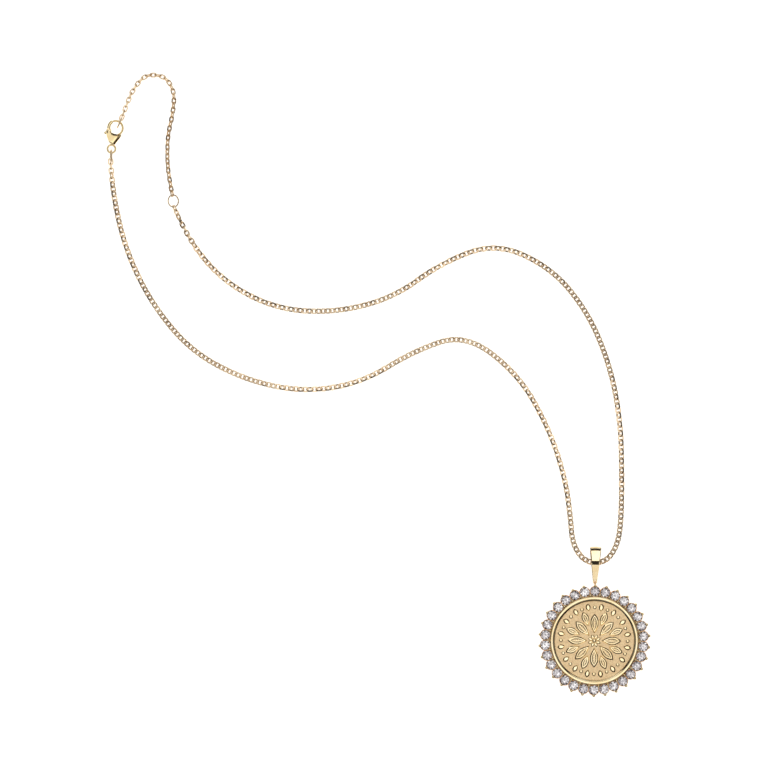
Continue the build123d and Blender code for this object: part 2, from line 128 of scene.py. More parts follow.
# in each finish the scales are of noise over a metre, and depths are in millimetres
polish = {
    "toneScale": 350,
    "toneSpan": (0.35, 0.7),
    "wearScale": 1600,
    "wearStretch": (1.0, 3.0, 1.0),
    "wearSpread": 0.10,  # how far scratches change the roughness
    "rippleScale": 900,
    "fineScale": 7000,
    "fineShare": 0.15,
}
sandblast = {
    "grainScale": 9000,
    "stippleScale": 3000,
    "stippleSpan": (0.38, 0.62),
    "depth": 0.045,
    "roughness": 0.30,
    "spread": 0.12,
}
glass = {
    # light is a painted highlight and dark a painted dark reflection: the glass colour where facets
    # would mirror the softboxes or the dark studio
    "light": (1.0, 0.97, 0.97, 1),
    "dark": (0.30, 0.26, 0.27, 1),
    "reflectionScale": 1200,
    "reflectionSpan": (0.43, 0.56),
    "haze": 0.02,
    "bending": 2.3,
}


def polishedGold(name, roughness, ripple, light="bright", dark="deep"):
    # cast and polished metal: a faint ripple, fine scratches and a slight change of tone
    size = polish
    finish = Finish(name)
    tone = finish.noise(size["toneScale"], 3)
    wear = finish.noise(size["wearScale"], 4, size["wearStretch"])
    fine = finish.noise(size["fineScale"], 1) * size["fineShare"]
    surface = finish.noise(size["rippleScale"], 2) + fine
    finish.feed(
        Base_Color=finish.blend(tone, size["toneSpan"], goldColours[light], goldColours[dark]),
        Metallic=1.0,
        Roughness=wear * size["wearSpread"] + (roughness - size["wearSpread"] / 2),
        Normal=finish.bump(surface, ripple),
    )
    return finish.material


def mattGold(name):
    # sandblasted ground
    size = sandblast
    finish = Finish(name)
    grain = finish.noise(size["grainScale"], 1)
    stipple = finish.noise(size["stippleScale"], 2)
    colours = goldColours["field"], goldColours["fieldDeep"]
    finish.feed(
        Base_Color=finish.blend(stipple, size["stippleSpan"], *colours),
        Metallic=1.0,
        Roughness=grain * size["spread"] + size["roughness"],
        Normal=finish.bump(grain + stipple, size["depth"]),
    )
    return finish.material


def brilliantGlass(name):
    # clear glass with painted reflections: light and dark patches painted into its colour, where facets
    # would catch the studio's lamps and its dark
    size = glass
    finish = Finish(name)
    facetReflections = finish.noise(size["reflectionScale"], 2)
    finish.feed(
        Base_Color=finish.blend(facetReflections, size["reflectionSpan"], size["dark"], size["light"]),
        Roughness=facetReflections * size["haze"],
        IOR=size["bending"],
        Transmission_Weight=1.0,
    )
    return finish.material


# a roughness and a depth of ripple for each polished finish
looks = {
    "plate": mattGold("matt_gold"),
    "setting": polishedGold("polished_gold", 0.12, 0.006),
    # painted shade: the cups are the setting's metal in a darker, redder gold
    "cups": polishedGold("cup_gold_painted_shade", 0.14, 0.006, "cup", "cupShadeDeep"),
    "chain": polishedGold("chain_gold", 0.32, 0.006, "chain", "chainDeep"),
    "clasp": polishedGold("clasp_gold", 0.18, 0.008, "clasp", "claspDeep"),
    "stone": brilliantGlass("stone_brilliant_painted_facets"),
}
print("finishes made")


# Modelling helpers

weld = 0.0005  # verts nearer than this are one


def at(x, y, z=0.0):
    return Matrix.Translation((x, y, z))


def turned(degrees, axis="Z"):
    return Matrix.Rotation(math.radians(degrees), 4, axis)


def sized(x, y, z):
    return Matrix.Diagonal((x, y, z, 1))


def shapeOf(bm):
    mesh = bpy.data.meshes.new("shape")
    bm.to_mesh(mesh)
    bm.free()
    return mesh


def stamp(bm, shape, place):
    # adds a copy of a finished shape, moved to its place
    copy = shape.copy()
    copy.transform(place)
    bm.from_mesh(copy)
    bpy.data.meshes.remove(copy)


def loopEdges(verts):
    # each edge once, in the same order in every run
    return list(dict.fromkeys(edge for vert in verts for edge in vert.link_edges))


def skin(bm, sides, rows, place):
    # a closed tube: place gives the point at an angle round it in each of its rows
    turn = 2 * math.pi
    part = bmesh.new()
    bmesh.ops.create_grid(part, x_segments=sides, y_segments=rows - 1, size=0.5)
    for vert in part.verts:
        vert.co = place(turn * (vert.co.x + 0.5), round((vert.co.y + 0.5) * (rows - 1)))
    bmesh.ops.remove_doubles(part, verts=part.verts, dist=0.00001)  # closes the seam and the poles
    bmesh.ops.holes_fill(part, edges=[edge for edge in part.edges if edge.is_boundary], sides=0)
    stamp(bm, shapeOf(part), Matrix.Identity(4))


def loft(bm, sides, rings):
    # a closed tube through rings, each a matrix that places and sizes a unit circle
    def place(angle, row):
        return rings[row] @ Vector((math.cos(angle), math.sin(angle), 0))

    skin(bm, sides, len(rings), place)


def spinOutline(bm, outline, steps, closed=True):
    # turns an outline of (radius, height) points all the way round Z
    verts = [bm.verts.new((radius, 0, height)) for radius, height in outline]
    pairs = list(zip(verts, verts[1:]))
    if closed:
        pairs.append((verts[-1], verts[0]))
    edges = [bm.edges.new(pair) for pair in pairs]
    bmesh.ops.spin(bm, geom=verts + edges, cent=(0, 0, 0), axis=(0, 0, 1), angle=2 * math.pi,
                   steps=steps, use_merge=True)
    bmesh.ops.remove_doubles(bm, verts=bm.verts, dist=0.001)


def softenEdges(bm, width):
    sharp = [edge for edge in bm.edges if len(edge.link_faces) == 2
             and edge.calc_face_angle(0) > math.radians(30)]
    bmesh.ops.bevel(bm, geom=sharp, offset=width, offset_type="OFFSET", segments=2,
                    profile=0.5, affect="EDGES", material=-1, clamp_overlap=True)


def finishPiece(name, bm, look, nodes, body="root", sharp=40, flats=False):
    # sharp is the angle in degrees from which an edge stays crisp, and 0 keeps every facet flat
    bmesh.ops.remove_doubles(bm, verts=bm.verts, dist=weld)
    bmesh.ops.recalc_face_normals(bm, faces=bm.faces)
    bmesh.ops.scale(bm, vec=Vector((millimetre,) * 3), verts=bm.verts)
    for face in bm.faces:
        face.smooth = sharp > 0
    for edge in bm.edges:
        edge.smooth = edge.calc_face_angle(0) < math.radians(sharp)
    mesh = bpy.data.meshes.new(name)
    bm.to_mesh(mesh)
    bm.free()
    mesh.materials.append(looks[look])
    piece = bpy.data.objects.new(name, mesh)
    bpy.context.scene.collection.objects.link(piece)
    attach(piece, body)
    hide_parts(*nodes)
    if flats:
        evened = piece.modifiers.new("flats", "WEIGHTED_NORMAL")
        evened.keep_sharp = True
    mesh.calc_loop_triangles()
    print(name, len(mesh.loop_triangles), "triangles")


def nodeBox(node):
    low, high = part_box(node)
    return low / millimetre, high / millimetre


def cadCopy(node, softness, name, look):
    # a node's own shape, merged, its flat faces joined and its edges softened
    bm = bmesh.new()
    bm.from_mesh(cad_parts[node].data)
    bmesh.ops.scale(bm, vec=Vector((1 / millimetre,) * 3), verts=bm.verts)
    bmesh.ops.remove_doubles(bm, verts=bm.verts, dist=weld)
    bmesh.ops.dissolve_limit(bm, angle_limit=math.radians(0.5), verts=bm.verts, edges=bm.edges)
    if softness:
        softenEdges(bm, softness)
    finishPiece(name, bm, look, [node], flats=softness > 0)


# Brilliants, cut facet by facet as a cutter does

brilliant = {
    "girdleSides": 32,
    "tableShare": 0.56,  # shares of the stone's radius
    "crown": 0.30,
    "girdle": 0.06,
    "pavilion": 0.86,
    "starTilt": 21.0,  # degrees from level
    "upperHalfTilt": 41.5,
    "lowerHalfTilt": 42.3,
    "loose": 3.0,  # how far a stone may lean in its cup
    "seed": 7,
}


def cutFacet(bm, point, normal):
    cut = bmesh.ops.bisect_plane(bm, geom=bm.verts[:] + bm.edges[:] + bm.faces[:], dist=0.00002,
                                 plane_co=point, plane_no=normal, clear_outer=True)
    edges = [item for item in cut["geom_cut"] if isinstance(item, bmesh.types.BMEdge)]
    if len(edges) > 2:
        bmesh.ops.holes_fill(bm, edges=edges, sides=0)


def cutBrilliant():
    size = brilliant
    bm = bmesh.new()
    top = size["girdle"] + size["crown"]
    bmesh.ops.create_cone(bm, cap_ends=True, segments=size["girdleSides"], radius1=1, radius2=1,
                          depth=4)
    mainTilt = math.degrees(math.atan(size["crown"] / (1 - size["tableShare"])))
    lowerTilt = -math.degrees(math.atan(size["pavilion"]))
    apothem = size["tableShare"] * math.cos(math.radians(22.5))
    half = math.cos(math.radians(11.25))
    cutFacet(bm, (0, 0, top), (0, 0, 1))
    # each row: how many facets, turn of the first, tilt, radius and height where the facet passes
    rows = [
        (8, 0.0, mainTilt, 1.0, size["girdle"]),
        (16, 11.25, size["upperHalfTilt"], half, size["girdle"]),
        (8, 22.5, size["starTilt"], apothem, top),
        (8, 0.0, lowerTilt, 1.0, 0.0),
        (16, 11.25, -size["lowerHalfTilt"], half, 0.0),
    ]
    for count, first, tilt, radius, height in rows:
        rise = math.copysign(1, tilt)
        for i in range(count):
            angle = math.radians(first + i * 360 / count)
            out = Vector((math.cos(angle), math.sin(angle), 0))
            slope = math.radians(abs(tilt))
            normal = out * math.sin(slope) + Vector((0, 0, rise * math.cos(slope)))
            cutFacet(bm, out * radius + Vector((0, 0, height)), normal)
    return shapeOf(bm)


def setStones():
    shape = cutBrilliant()
    scatter = random.Random(brilliant["seed"])
    stones = sorted(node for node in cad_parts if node.startswith("stone_"))
    girdleSpan = brilliant["crown"] + brilliant["girdle"] + brilliant["pavilion"]
    for index, node in enumerate(stones):
        low, high = nodeBox(node)
        radius = (high.z - low.z) / girdleSpan
        middle = (low + high) / 2
        girdle = low.z + brilliant["pavilion"] * radius
        loose = brilliant["loose"]
        tip = turned(scatter.uniform(-loose, loose), "X") @ turned(scatter.uniform(-loose, loose), "Y")
        place = at(middle.x, middle.y, girdle) @ tip @ turned(scatter.uniform(0, 45))
        bm = bmesh.new()
        stamp(bm, shape, place @ sized(radius, radius, radius))
        finishPiece(f"brilliant_{index + 1:02d}", bm, "stone", [node], sharp=0)


setStones()
print("stones cut")


# Chain of oval links

chain = {
    "linkLength": 2.06,
    "linkWidth": 1.57,
    "wire": 0.42,
    "pitch": 1.18,
    "wireSides": 5,
    "linkSteps": 16,
    "crossing": 45.0,  # degrees between a link and the next, where the chain lies loose
    "lie": -13.0,  # roll of the flatter links
    "twistTurns": 5.5,  # how often the chain rolls over along its length
    "twist": 8.0,
    "jitter": 5.0,  # degrees of loose turn in each link
    "calm": 6,  # how many links settle towards the rings at each end
    "turnIn": 12,  # over how many links the chain turns to meet the adjuster ring
    "extenderWidth": 0.885,  # share of a link's width
    "seed": 11,
}
rings = {
    "radius": 1.55,
    "wire": 0.35,
    "hookGap": 0.07,
    "claspHeading": 0.0,
    "claspLean": 10.0,
    "adjusterHeading": 11.0,
    "adjusterLean": 60.0,
}
# the chain's route in metres, from the clasp's ring through the bail to the adjuster ring
leftRoute = [
    (-0.1248, 0.1125), (-0.1210, 0.0975), (-0.1140, 0.0840), (-0.1040, 0.0725),
    (-0.0905, 0.0655), (-0.0755, 0.0625), (-0.0605, 0.0650), (-0.0470, 0.0735),
    (-0.0340, 0.0780), (-0.0205, 0.0680), (-0.0125, 0.0545), (-0.0080, 0.0415),
    (-0.0065, 0.0315),
]
bailRoute = [(-0.0059, 0.0245), (-0.0026, 0.01995), (0.0026, 0.01995), (0.0057, 0.0245)]
rightRoute = [
    (0.0065, 0.0315), (0.0065, 0.0425), (0.0060, 0.0560), (0.0032, 0.0700),
    (-0.0025, 0.0835), (-0.0120, 0.0950), (-0.0265, 0.1015), (-0.0405, 0.0960),
    (-0.0525, 0.0870), (-0.0670, 0.0830), (-0.0820, 0.0835), (-0.0955, 0.0900),
    (-0.1050, 0.1005),
]
restHeight = chain["linkWidth"] / 2
bailHeight = 1.25  # over the bail's back wall


def ringFrame(node, heading, lean):
    # a ring's centre and its own directions: along in plan, and up across its hole
    low, high = nodeBox(node)
    angle = math.radians(heading)
    along = Vector((-math.sin(angle), math.cos(angle), 0))
    side = Vector((along.y, -along.x, 0))
    tilt = math.radians(lean)
    up = Vector((0, 0, math.cos(tilt))) + side * math.sin(tilt)
    return (low + high) / 2, along, up


def hookedLink(ring, height, end):
    # the centre of a link whose wire hangs inside the ring at its far (1) or near (-1) end
    centre, along, up = ring
    wire = chain["wire"] / 2
    rise = (height - centre.z) / up.z
    room = rings["radius"] - rings["wire"] / 2 - wire - rings["hookGap"]
    inside = centre + along * math.sqrt(room ** 2 - rise ** 2) * end + up * rise
    return inside + along * end * (chain["linkLength"] - chain["wire"]) / 2


def smoothLine(points):
    # points along one smooth curve through the route's control points
    curve = bpy.data.curves.new("route", "CURVE")
    curve.dimensions = "3D"
    curve.resolution_u = 24
    spline = curve.splines.new("NURBS")
    spline.points.add(len(points) - 1)
    for target, point in zip(spline.points, points):
        target.co = (*point, 1)
    spline.order_u = 3
    spline.use_endpoint_u = True
    holder = bpy.data.objects.new("route", curve)
    mesh = bpy.data.meshes.new_from_object(holder)
    line = [vert.co.copy() / millimetre for vert in mesh.vertices]
    bpy.data.objects.remove(holder)
    bpy.data.curves.remove(curve)
    bpy.data.meshes.remove(mesh)
    return line


def stepsAlong(line, pitch):
    # evenly spaced places along a line, each with its direction
    runs = [(b - a).length for a, b in zip(line, line[1:])]
    total = sum(runs)
    count = round(total / pitch)
    places = []
    reached = 0.0
    index = 0
    for i in range(count + 1):
        distance = min(total * i / count, total - 1e-6)
        while reached + runs[index] < distance:
            reached += runs[index]
            index += 1
        share = (distance - reached) / runs[index]
        places.append(line[index].lerp(line[index + 1], share))
    directions = [places[1] - places[0]]
    directions += [b - a for a, b in zip(places, places[2:])]
    directions.append(places[-1] - places[-2])
    return list(zip(places, [direction.normalized() for direction in directions]))


def ovalLink():
    # a bent wire with one of its flats up, pulled apart into an oval
    radius = (chain["linkWidth"] - chain["wire"]) / 2
    straight = (chain["linkLength"] - chain["linkWidth"]) / 2
    bm = bmesh.new()
    flatUp = turned(180 / chain["wireSides"])
    start = turned(180 / chain["linkSteps"]) @ at(radius, 0) @ turned(90, "X") @ flatUp
    wire = bmesh.ops.create_circle(bm, segments=chain["wireSides"], radius=chain["wire"] / 2,
                                   matrix=start)
    bmesh.ops.spin(bm, geom=wire["verts"] + loopEdges(wire["verts"]), cent=(0, 0, 0), axis=(0, 0, 1),
                   angle=2 * math.pi, steps=chain["linkSteps"], use_merge=True)
    for side in (1, -1):
        half = [vert for vert in bm.verts if vert.co.x * side > 0]
        bmesh.ops.translate(bm, vec=(straight * side, 0, 0), verts=half)
    return shapeOf(bm)


def layChain():
    size = chain
    claspRing = ringFrame("clasp_ring", rings["claspHeading"], rings["claspLean"])
    adjuster = ringFrame("adjuster_ring", rings["adjusterHeading"], rings["adjusterLean"])
    first = hookedLink(claspRing, restHeight, -1)
    last = hookedLink(adjuster, adjuster[0].z, -1)
    flat = restHeight * millimetre
    high = bailHeight * millimetre
    route = [first * millimetre]
    route += [Vector((x, y, flat)) for x, y in leftRoute]
    heights = ((flat + high) / 2, high, high, (flat + high) / 2)
    route += [Vector((x, y, z)) for (x, y), z in zip(bailRoute, heights)]
    route += [Vector((x, y, flat)) for x, y in rightRoute]
    route.append(last * millimetre)
    places = stepsAlong(smoothLine(route), size["pitch"])
    bottom = Vector((0, bailRoute[1][1])) / millimetre
    seam = min(range(len(places)), key=lambda i: (places[i][0].xy - bottom).length)
    steps = len(places) - 1
    finalRoll = rings["adjusterLean"] - 90 * (steps % 2)
    drift = (finalRoll + 90) % 180 - 90
    scatter = random.Random(size["seed"])
    link = ovalLink()
    halves = {"chain_left": bmesh.new(), "chain_right": bmesh.new()}
    for i, (place, along) in enumerate(places):
        share = i / steps
        calm = min(1.0, i / size["calm"], (steps - i) / size["calm"])
        wave = math.sin(2 * math.pi * size["twistTurns"] * share) * size["twist"]
        crossing = 90 + (size["crossing"] - 90) * calm
        late = max(0, 1 - (steps - i) / size["turnIn"])
        loose = size["lie"] + wave + scatter.uniform(-1, 1) * size["jitter"]
        roll = crossing * (i % 2) + drift * late + calm * loose
        yaw = calm * scatter.uniform(-1, 1) * size["jitter"] / 2
        spread = max(abs(math.sin(math.radians(roll))), abs(math.cos(math.radians(roll))))
        drop = calm * (restHeight - size["wire"] / 2) * (1 - spread)
        up = (Vector((0, 0, 1)) - along * along.z).normalized()
        side = up.cross(along)
        axes = Matrix((along, side, up)).transposed().to_4x4()
        turn = at(place.x, place.y, place.z - drop) @ axes @ turned(-roll, "X") @ turned(yaw)
        half = "chain_left" if i <= seam else "chain_right"
        stamp(halves[half], link, turn)
    for node, bm in halves.items():
        finishPiece(node + "_links", bm, "chain", [node], sharp=60)
    print("chain of", steps + 1, "links")


layChain()


def islands(bm):
    # the loose solids of a mesh, each as its list of vertices, in the same order in every run
    left = dict.fromkeys(bm.verts)
    while left:
        found = [left.popitem()[0]]
        for vert in found:
            near = [edge.other_vert(vert) for edge in vert.link_edges]
            for other in near:
                if other in left:
                    del left[other]
                    found.append(other)
        yield found


def layExtender():
    # one of the chain's links in the place of each plain one
    source = bmesh.new()
    source.from_mesh(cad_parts["extender_chain"].data)
    bmesh.ops.scale(source, vec=Vector((1 / millimetre,) * 3), verts=source.verts)
    bmesh.ops.remove_doubles(source, verts=source.verts, dist=weld)
    link = ovalLink()
    bm = bmesh.new()
    for verts in islands(source):
        middle = sum((vert.co for vert in verts), Vector()) / len(verts)
        spans = [vert.co - middle for vert in verts]
        along = max(spans, key=lambda span: span.length).normalized()
        across = [span - along * span.dot(along) for span in spans]
        side = max(across, key=lambda span: span.length).normalized()
        if along.cross(side).z < 0:
            side = -side
        axes = Matrix((along, side, along.cross(side))).transposed().to_4x4()
        straight = (chain["linkLength"] - chain["linkWidth"]) / 2
        bend = (chain["linkWidth"] - chain["wire"]) / 2
        depth = straight * abs(along.z) + bend * math.hypot(along.z, side.z) + chain["wire"] / 2
        middle.z = max(middle.z, depth)  # clear of the surface it lies on
        stamp(bm, link, Matrix.Translation(middle) @ axes @ sized(1, chain["extenderWidth"], 1))
    source.free()
    finishPiece("extender_links", bm, "chain", ["extender_chain"], sharp=60)


layExtender()
for node in ("adjuster_ring", "end_ring", "clasp_ring"):
    cadCopy(node, 0, node + "_gold", "chain")
print("rings dressed")


# Bail, drawn from the side and tapered in plan

bail = {
    "footHalf": 0.60,
    "waistHalf": 1.05,
    "topHalf": 1.40,
    "waistFrom": (3.7, 4.6),  # distances below the top end
    "taperFrom": 0.95,
    "footFrom": 8.5,
    "eyeOuter": 0.60,
    "eyePlace": 0.52,  # above the bail's lower end
    "eyeInner": 0.25,
    "eyeHeight": 1.1,
    "tongueThickness": 0.4,
    "eyeSteps": 32,
    "eyeBevel": 0.06,
    "eyeTilt": 10.4,  # as the tongue slopes
    "bow": 0.2,  # how far the corners of the top end fall back
    "bowReach": 2.4,
}
# the side's outline: distance below the top end, and height
bailFront = [
    (8.74, 1.28), (4.72, 2.02), (4.70, 2.25), (3.68, 2.96), (1.05, 3.05), (0.48, 2.62), (0.18, 2.57),
    (0.09, 2.46), (0.03, 2.2), (0.0, 1.9), (0.0, 1.1), (0.08, 0.6), (0.3, 0.25), (0.66, 0.06),
    (1.05, 0.0), (6.75, 0.0), (8.74, 0.88)]
bailHole = [
    (0.95, 0.85), (0.95, 2.1), (1.2, 2.5), (3.7, 2.5), (4.5, 1.88), (4.9, 1.6), (5.02, 1.3),
    (5.02, 0.8), (4.8, 0.5), (1.25, 0.5)]
# across the bail: share of its half width, and how far the front is rounded down there
bailLayers = [
    (-1.0, 0.12), (-0.87, 0.0), (-0.45, -0.01), (0.0, -0.01), (0.45, -0.01), (0.87, 0.0), (1.0, 0.12)]


def bailHalfWidth(below):
    size = bail
    high, low = size["waistFrom"]
    if below < high:
        share = max(0, (below - size["taperFrom"]) / (high - size["taperFrom"]))
        return size["topHalf"] + (size["waistHalf"] - size["topHalf"]) * share
    share = min(1, max(0, (below - low) / (size["footFrom"] - low)))
    return size["waistHalf"] + (size["footHalf"] - size["waistHalf"]) * share


def sideLoop(bm, outline, top, across, drop):
    # the side's outline as a loop of edges, at a share of the bail's half width
    verts = []
    for below, height in outline:
        lowered = height - drop * min(1, height / 2)
        bow = bail["bow"] * across ** 2 * max(0, 1 - below / bail["bowReach"])
        verts.append(bm.verts.new((across * bailHalfWidth(below), top - below - bow, lowered)))
    return [bm.edges.new(pair) for pair in zip(verts, verts[1:] + verts[:1])]


def makeBail():
    size = bail
    low, high = nodeBox("bail")
    bm = bmesh.new()
    skins = [sideLoop(bm, bailFront, high.y, across, drop) for across, drop in bailLayers]
    for first, second in zip(skins, skins[1:]):
        bmesh.ops.bridge_loops(bm, edges=first + second)
    holes = [sideLoop(bm, bailHole, high.y, across, 0) for across in (-1, 1)]
    bmesh.ops.bridge_loops(bm, edges=holes[0] + holes[1])
    bmesh.ops.bridge_loops(bm, edges=skins[0] + holes[0])
    bmesh.ops.bridge_loops(bm, edges=skins[-1] + holes[1])
    eye = bmesh.new()
    half = size["tongueThickness"] / 2
    inner, outer, bevel = size["eyeInner"], size["eyeOuter"], size["eyeBevel"]
    outline = [(inner, bevel - half), (inner + bevel, -half), (outer - bevel, -half),
               (outer, bevel - half), (outer, half - bevel), (outer - bevel, half),
               (inner + bevel, half), (inner, half - bevel)]
    spinOutline(eye, outline, size["eyeSteps"])
    place = at(0, low.y + size["eyePlace"], size["eyeHeight"]) @ turned(size["eyeTilt"], "X")
    stamp(bm, shapeOf(eye), place)
    finishPiece("bail_gold", bm, "setting", ["bail"], sharp=25, flats=True)


makeBail()
print("bail folded")


# Plate with its cast wreath

plate = {
    "radius": 10.1,
    "steps": 128,
    "reliefHeight": 0.42,
    "root": 0.05,  # how deep the relief sits in the field
    "line": 0.66,  # width of a leaf's outline, with both its slopes
    "innerEdge": 0.15,
    "edgeFall": 0.8,  # how far a slope falls over its width
    "sunk": 0.15,  # leaf face below its outline
    "outlinePoints": 40,
    "ribWidth": 0.13,
    "veinWidth": 0.09,
    "ribHeight": 0.06,
    "veinTurn": 42,  # degrees from the midrib
    "veinSpan": (0.14, 0.66),  # where the veins start and how far they run, as shares of the leaf
    "veinReach": 0.46,
    "ribReach": 0.74,
    "beadRadius": 0.46,
    "beadHeight": 0.36,
    "beadRing": 0.845,
    "beads": 16,
    "beadSteps": 24,
    "bossRadius": 0.40,
}
# a bead's rounded shoulder: distances in from its side and down from its top
beadShoulder = [(0, 0.16), (0.17, 0.02), (0.2, 0.01)]
# a ring of leaves in each row: how many and the turn of the first, start and length as shares of the
# field's radius, width as a share of the length, height as a share of the relief's, outer slope, veins
leafTable = [
    (8, 0.0, 0.18, 0.50, 0.42, 1.0, 0.28, 5),
    (8, 22.5, 0.40, 0.38, 0.47, 0.94, 0.26, 4),
    (16, 11.25, 0.75, 0.20, 0.62, 0.9, 0.26, 0),
    (8, 22.5, 0.034, 0.135, 0.54, 0.9, 0.14, 0),
]
leafColumns = ("count", "turn", "start", "length", "width", "height", "edge", "veins")
leafRings = [dict(zip(leafColumns, row)) for row in leafTable]


def ridge(bm, x, y, z, turn, length, width, height):
    # a tapered line of metal lying in the leaf
    place = at(x, y, z) @ turned(turn) @ sized(length / 2, width, height) @ turned(90, "Y")
    bmesh.ops.create_uvsphere(bm, u_segments=8, v_segments=8, radius=1, matrix=place)


def leafSkin(bm, length, width, rows):
    # rows of inset and height draw the leaf's outline in and lift it
    def place(angle, row):
        inset, height = rows[row]
        tip = inset / math.sin(math.atan(2 * width / length))
        along, across = math.cos(angle), math.sin(angle)
        swell = across * abs(across) * (1 + 0.25 * along)
        return Vector((length / 2 + (length / 2 - tip) * along, (width / 2 - inset) * swell, height))

    skin(bm, plate["outlinePoints"], len(rows), place)


def castLeaf(row):
    # a polished outline with its veins, and the matte bed inside it; without veins a polished leaf
    size = plate
    length = row["length"] * size["radius"]
    width = row["width"] * length
    top = row["height"] * size["reliefHeight"] + size["root"]
    line = size["line"]
    floor = top - size["sunk"]
    outer, inner = row["edge"], size["innerEdge"]
    drop = size["edgeFall"]
    # inset and height, from the outline's outer foot to its crest
    climb = [(0, 0), (0, top - outer * drop), (outer * 0.85, top - outer * 0.1), (outer, top)]
    lines = bmesh.new()
    if not row["veins"]:
        leafSkin(lines, length, width, climb + [(width * 0.3, top + 0.01), (width * 0.44, top + 0.015)])
        return shapeOf(lines), None
    # and from the crest to its inner foot
    fall = [(line - inner, top), (line - inner * 0.8, top - inner * 0.1), (line, top - inner * drop),
            (line, 0.02)]
    leafSkin(lines, length, width, climb + fall)
    ridge(lines, length / 2, 0, floor, 0, length * size["ribReach"], size["ribWidth"], size["ribHeight"])
    lean = math.radians(size["veinTurn"])
    first, run = size["veinSpan"]
    for i in range(row["veins"]):
        share = (i + 0.7) / (row["veins"] + 0.6)
        reach = width * (1 - (2 * share - 1) ** 2) * size["veinReach"]
        x = length * (first + run * share) + reach * math.cos(lean) / 2
        y = reach * math.sin(lean) / 2
        for side in (1, -1):
            turn = side * size["veinTurn"]
            ridge(lines, x, side * y, floor, turn, reach, size["veinWidth"], size["ribHeight"])
    bed = bmesh.new()
    room = width / 2 - line
    rows = [(line * 0.6, 0), (line * 0.6, floor), (line + room * 0.3, floor + 0.01),
            (line + room * 0.7, floor + 0.03)]
    leafSkin(bed, length, width, rows)
    return shapeOf(lines), shapeOf(bed)


def button(bm, radius, height, place):
    # a low round bead with a rounded shoulder
    part = bmesh.new()
    outline = [(0, -plate["root"]), (radius, -plate["root"])]
    outline += [(radius - inset, height - fall) for inset, fall in beadShoulder]
    outline.append((0, height))
    spinOutline(part, outline, plate["beadSteps"], closed=False)
    stamp(bm, shapeOf(part), place)


def castPlate():
    size = plate
    low, high = nodeBox("medallion_plate")
    field = high.z - size["reliefHeight"]
    bm = bmesh.new()
    outline = [(0, low.z), (size["radius"], low.z), (size["radius"], field), (0, field)]
    spinOutline(bm, outline, size["steps"], closed=False)
    lines = bmesh.new()
    for row in leafRings:
        edge, bed = castLeaf(row)
        for i in range(row["count"]):
            place = turned(row["turn"] + i * 360 / row["count"])
            place = place @ at(row["start"] * size["radius"], 0, field - size["root"])
            stamp(lines, edge, place)
            if bed:
                stamp(bm, bed, place)
    for i in range(size["beads"]):
        place = turned(i * 360 / size["beads"]) @ at(size["beadRing"] * size["radius"], 0, field)
        button(lines, size["beadRadius"], size["beadHeight"], place)
    button(lines, size["bossRadius"], size["reliefHeight"], at(0, 0, field))
    finishPiece("medallion_field", bm, "plate", ["medallion_plate"], sharp=35)
    finishPiece("medallion_wreath", lines, "setting", ["medallion_plate"], sharp=30)


castPlate()
print("plate cast")


# Setting: bezel, gallery, cups and claws

setting = {
    "rimOuter": 11.35,
    "rimHeight": 2.35,
    "crownRadius": 0.85,
    "crownTilt": 32.0,  # degrees from level at the crown's edges
    "crownSteps": 12,
    "innerBevel": 0.14,
    "bevelTilt": 39.0,
    "shoulder": 0.04,
    "footBevel": 0.12,
    "lipHeight": 1.3,
    "plateWell": 10.15,
    "backThickness": 0.5,
    "rimSteps": 160,
    "cupRadius": 1.38,
    "cupFoot": 0.96,
    "cupTop": 1.82,
    "cupHole": 0.55,
    "cupSteps": 24,
    "galleryInner": 11.1,
    "galleryOuter": 13.05,
    "galleryHeight": 0.5,
    "sectorSteps": 6,  # along each of a sector's four sides
    "clawSides": 12,
    "outerPlace": 14.02,
    "outerWire": 0.28,
    "outerBall": 0.40,
    "innerPlace": 11.65,
    "innerWire": 0.25,
    "innerBall": 0.38,
    "ballHeight": 2.33,
    "ballFlatness": 0.95,
    "ballSides": 14,
    "ballRows": 10,
    "strutWire": 0.16,  # between the rim and an inner claw
    "strutHeight": 1.72,
    "strutRoot": 0.15,  # how deep it sits in the rim
    "strutSides": 8,
    "loopRadius": 0.70,
    "loopWire": 0.18,
    "loopPlace": (14.41, 1.1),
    "loopSteps": 28,
    "loopSides": 12,
}


def bezel():
    size = setting
    crown = size["crownRadius"]
    tilt = math.radians(size["crownTilt"])
    middle = size["rimOuter"] - size["shoulder"] - crown * math.sin(tilt)
    centre = size["rimHeight"] - crown
    edge = centre + crown * math.cos(tilt)
    inner = middle - crown * math.sin(tilt) - size["innerBevel"]
    outline = [(0, 0), (0, size["backThickness"]), (size["plateWell"], size["backThickness"]),
               (size["plateWell"], size["lipHeight"]), (inner, size["lipHeight"] + 0.05),
               (inner, edge - size["innerBevel"] * math.tan(math.radians(size["bevelTilt"])))]
    for i in range(size["crownSteps"] + 1):
        angle = tilt * (2 * i / size["crownSteps"] - 1)
        outline.append((middle + crown * math.sin(angle), centre + crown * math.cos(angle)))
    outer, bevel = size["rimOuter"], size["footBevel"]
    outline += [(outer - 0.02, edge - 0.04), (outer, edge - 0.12), (outer, bevel), (outer - bevel, 0)]
    bm = bmesh.new()
    spinOutline(bm, outline, size["rimSteps"])
    finishPiece("bezel_rim", bm, "setting", ["halo_setting"], sharp=35)


def cupShape():
    size = setting
    outline = [
        (size["cupFoot"], 0.25), (size["cupFoot"] + 0.03, 0.62), (size["cupRadius"] - 0.14, 1.25),
        (size["cupRadius"], 1.62), (size["cupRadius"], size["cupTop"] - 0.05),
        (size["cupRadius"] - 0.05, size["cupTop"]), (size["cupRadius"] - 0.1, size["cupTop"] - 0.01),
        (size["cupRadius"] - 0.3, 1.45), (0.7, 1.15), (size["cupHole"], 0.95), (size["cupHole"], 0.25)]
    bm = bmesh.new()
    spinOutline(bm, outline, size["cupSteps"])
    return shapeOf(bm)


